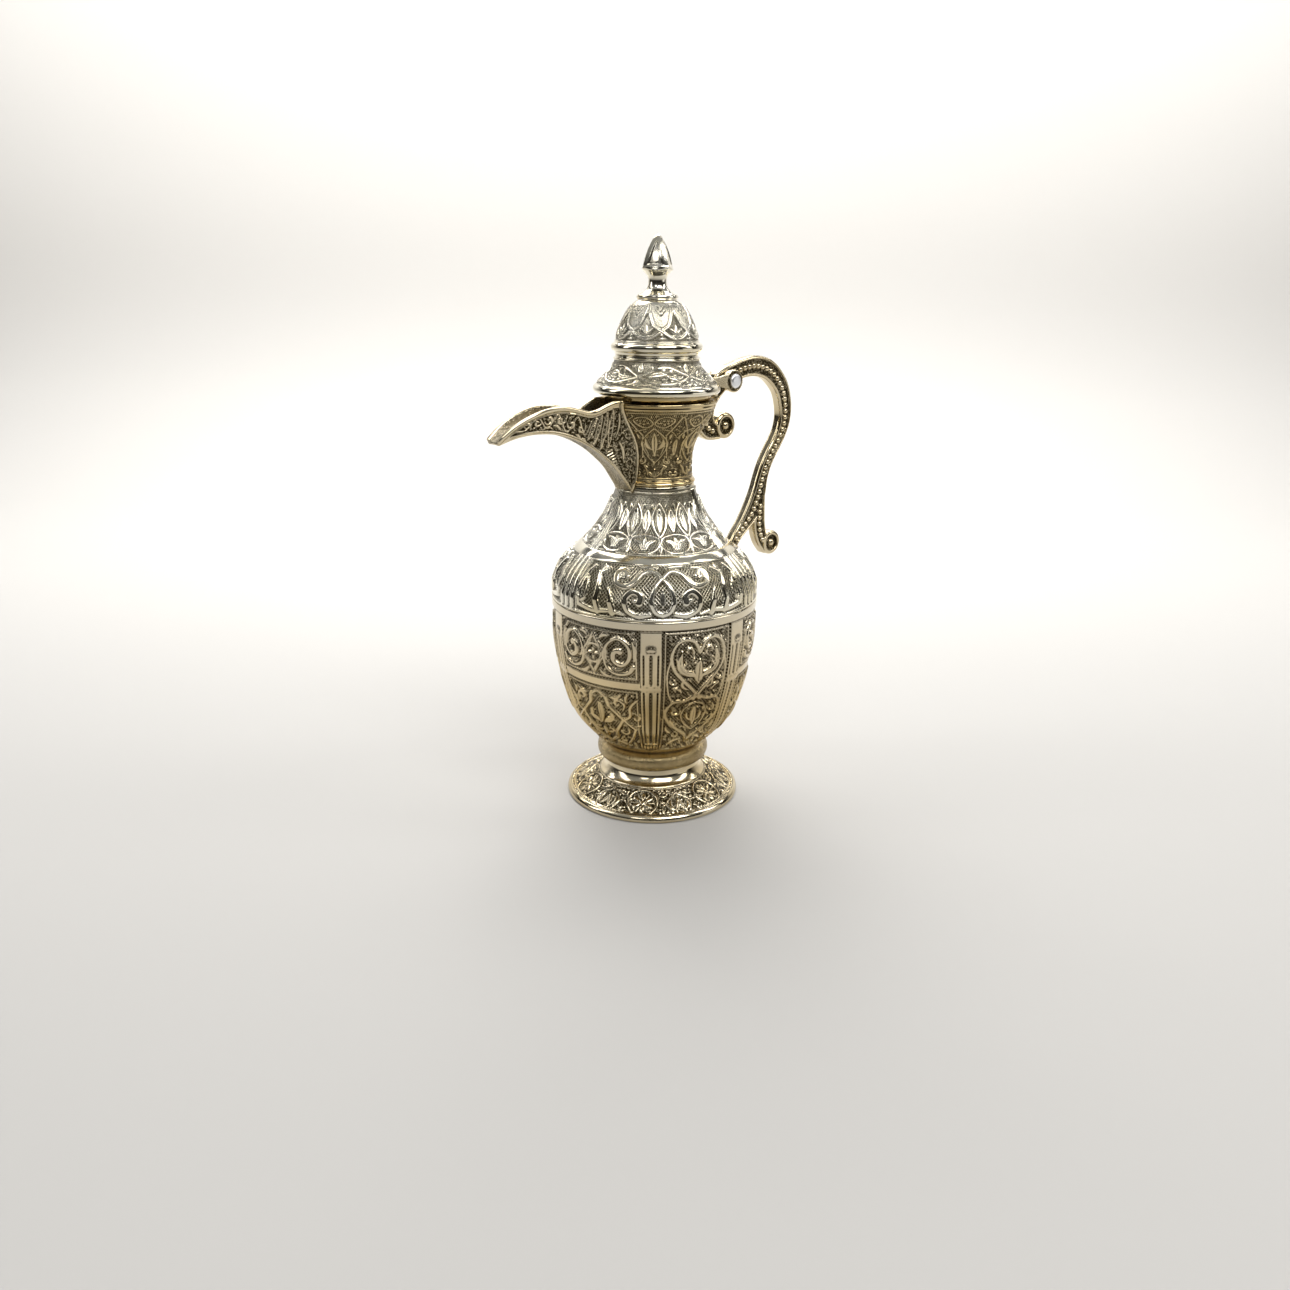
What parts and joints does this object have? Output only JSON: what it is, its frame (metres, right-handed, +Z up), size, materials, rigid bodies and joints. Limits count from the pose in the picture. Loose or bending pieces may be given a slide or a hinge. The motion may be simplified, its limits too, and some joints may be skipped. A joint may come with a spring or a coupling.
{
  "type": "dallah coffee pot",
  "caption": "Tall footed coffee pot with a waisted neck, an open beak spout, a scrolled handle and a domed lid hinged over the handle.",
  "frame": {"origin": "on the pot's axis at the foot's resting plane", "axes": "+Z up the pot's axis, -X towards the spout, +X towards the handle, +Y along the lid's hinge pin"},
  "size_m": [0.1472, 0.082, 0.22],
  "materials": {
    "champagne_plate": "polished, dark patina in the recesses",
    "golden_plate": "polished, dark olive patina in the recesses",
    "silver_plate": "polished, dark patina in the recesses",
    "bright_pin": "satin",
    "steel": "brushed"
  },
  "bodies": {
    "pot": {"foot": "champagne_plate", "stem_collar": "golden_plate", "lower_body": "golden_plate", "upper_body": "silver_plate", "neck": "golden_plate", "spout": "champagne_plate", "handle": "champagne_plate", "foot_bolt": "steel", "foot_washer": "steel", "handle_top_screw": "steel", "handle_top_washer": "steel", "handle_bottom_screw": "steel", "handle_bottom_washer": "steel"},
    "lid": {"lid_skirt": "silver_plate", "lid_dome": "silver_plate", "lid_collar": "golden_plate", "finial": "silver_plate", "finial_screw": "steel", "finial_washer": "steel", "hinge_pin": "bright_pin"}
  },
  "joints": [
    {"name": "lid_hinge", "type": "hinge", "parent": "pot", "child": "lid", "pos_m": [0.036, 0, 0.1665], "axis": [0, 1, 0], "range_deg": [0, 105]}
  ]
}
